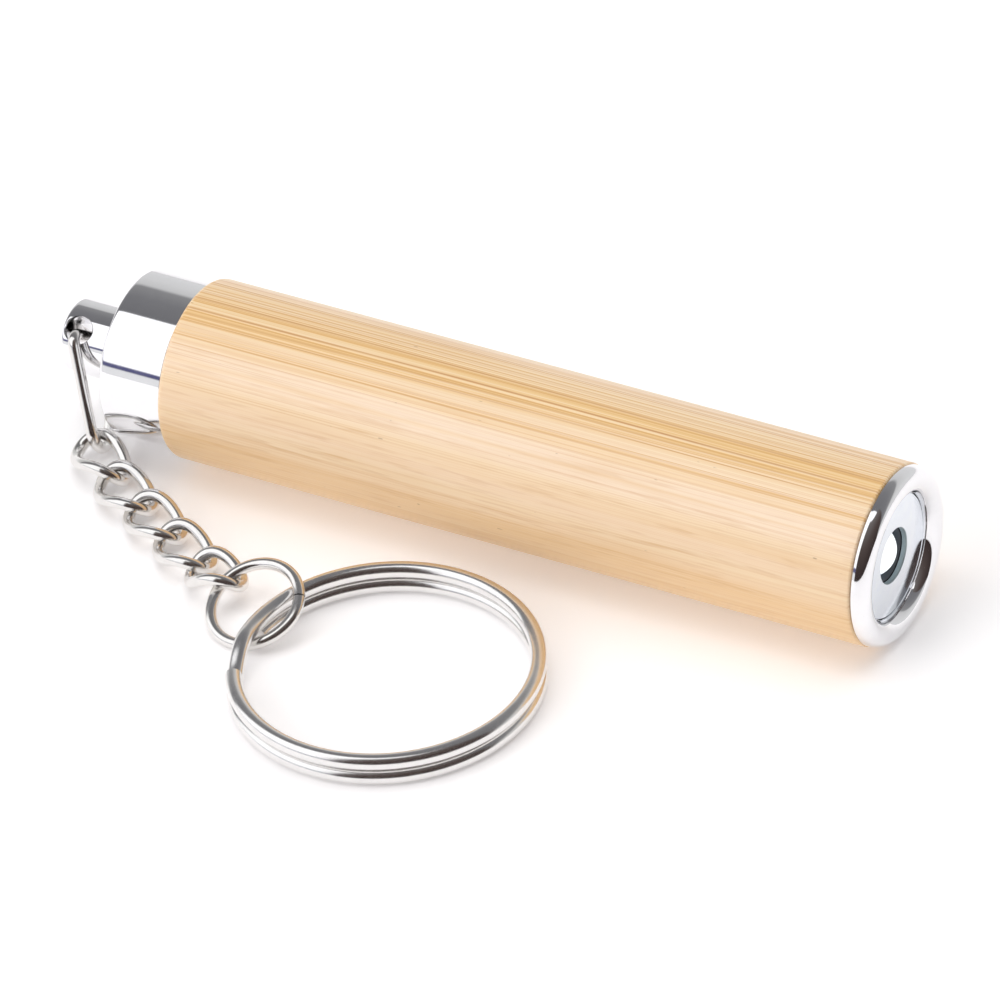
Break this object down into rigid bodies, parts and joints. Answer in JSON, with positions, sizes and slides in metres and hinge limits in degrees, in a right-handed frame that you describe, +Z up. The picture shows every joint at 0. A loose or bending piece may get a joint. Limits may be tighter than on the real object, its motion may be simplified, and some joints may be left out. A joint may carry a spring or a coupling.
{
  "type": "keychain flashlight",
  "caption": "Pocket flashlight with a round bamboo barrel, chrome bezel with one LED, twist tail cap, curb chain and split key ring.",
  "frame": {"origin": "on the barrel's axis, at the middle of the bamboo sleeve's length", "axes": "+X along the barrel towards the lens, +Z up, away from the surface that the flashlight lies on"},
  "size_m": [0.0855, 0.0481, 0.017],
  "materials": {
    "bamboo": "planed bamboo strips under a thin satin lacquer",
    "chrome_plate": "bright chrome plating",
    "mirror_plate": "flat polished plate",
    "led_epoxy": "clear epoxy lens",
    "tinned_wire": "tinned wire",
    "tube_metal": "drawn aluminium",
    "black_plastic": "moulded, matt",
    "resistor_body": "lacquered",
    "board_green": "lacquered circuit board",
    "brass_contact": "bare brass",
    "card_tube": "rolled insulating card",
    "cell_steel": "nickel-plated steel can",
    "white_plastic": "moulded, matt",
    "spring_steel": "drawn spring wire",
    "seal_rubber": "smooth black rubber",
    "nickel_wire": "bright nickel-plated wire",
    "key_ring_steel": "polished, nickel-plated steel"
  },
  "bodies": {
    "barrel": {"bamboo_sleeve": "bamboo", "inner_tube": "tube_metal", "bezel": "chrome_plate", "reflector_plate": "mirror_plate", "led": "led_epoxy", "led_leads": "tinned_wire", "led_holder": "black_plastic", "resistor": "resistor_body", "contact_board": "board_green", "contact_pin": "brass_contact"},
    "battery_stack": {"cell_sleeve": "card_tube", "cell_1": "cell_steel", "cell_2": "cell_steel", "cell_3": "cell_steel", "cell_4": "cell_steel", "spacer_tube": "white_plastic", "spacer_rod": "brass_contact", "tail_spring": "spring_steel"},
    "tail_cap": {"tail_cap": "chrome_plate", "tail_contact": "brass_contact", "o_ring": "seal_rubber"},
    "oblong_link": {"oblong_link": "nickel_wire"},
    "curb_link_1": {"curb_link_1": "nickel_wire"},
    "curb_link_2": {"curb_link_2": "nickel_wire"},
    "curb_link_3": {"curb_link_3": "nickel_wire"},
    "curb_link_4": {"curb_link_4": "nickel_wire"},
    "curb_link_5": {"curb_link_5": "nickel_wire"},
    "jump_ring": {"jump_ring": "nickel_wire"},
    "split_ring": {"split_ring": "key_ring_steel"}
  },
  "joints": [
    {"name": "battery_slide", "type": "slide", "parent": "barrel", "child": "battery_stack", "axis": [1, 0, 0], "range_m": [-0.00075, 0]},
    {"name": "cap_twist", "type": "hinge", "parent": "battery_stack", "child": "tail_cap", "pos_m": [0, 0, 0], "axis": [1, 0, 0], "range_deg": [-271, 0]},
    {"name": "oblong_link_swing", "type": "hinge", "parent": "tail_cap", "child": "oblong_link", "pos_m": [-0.0469, 0, 0], "axis": [0, -0.7431, 0.6691], "range_deg": [-220, 1]},
    {"name": "curb_link_1_swing", "type": "hinge", "parent": "oblong_link", "child": "curb_link_1", "pos_m": [-0.04328, -0.00616, -0.00734], "axis": [0, -0.766, 0.6428], "range_deg": [-60, 4]},
    {"name": "curb_link_2_swing", "type": "hinge", "parent": "curb_link_1", "child": "curb_link_2", "pos_m": [-0.0393, -0.0101, -0.00691], "axis": [0.4064, 0.5741, -0.7108], "range_deg": [-5, 60]},
    {"name": "curb_link_3_swing", "type": "hinge", "parent": "curb_link_2", "child": "curb_link_3", "pos_m": [-0.03482, -0.01306, -0.00705], "axis": [0.3977, 0.6889, -0.606], "range_deg": [-6, 40]},
    {"name": "curb_link_4_swing", "type": "hinge", "parent": "curb_link_3", "child": "curb_link_4", "pos_m": [-0.03019, -0.01573, -0.00705], "axis": [0.3977, 0.6889, -0.606], "range_deg": [-7, 40]},
    {"name": "curb_link_5_swing", "type": "hinge", "parent": "curb_link_4", "child": "curb_link_5", "pos_m": [-0.02555, -0.01841, -0.00705], "axis": [0.3977, 0.6889, -0.606], "range_deg": [-9, 32]},
    {"name": "jump_ring_swing", "type": "hinge", "parent": "curb_link_5", "child": "jump_ring", "pos_m": [-0.02097, -0.02097, -0.00563], "axis": [0.5194, 0.6082, -0.6003], "range_deg": [-14, 32]},
    {"name": "split_ring_travel", "type": "hinge", "parent": "jump_ring", "child": "split_ring", "pos_m": [-0.0181, -0.02202, -0.00619], "axis": [-0.1009, -0.3939, 0.9136], "range_deg": [-60, 11]}
  ],
  "couplings": [
    {"joint": "cap_twist", "follows": "battery_slide", "rad_per_m": 6283.2}
  ]
}
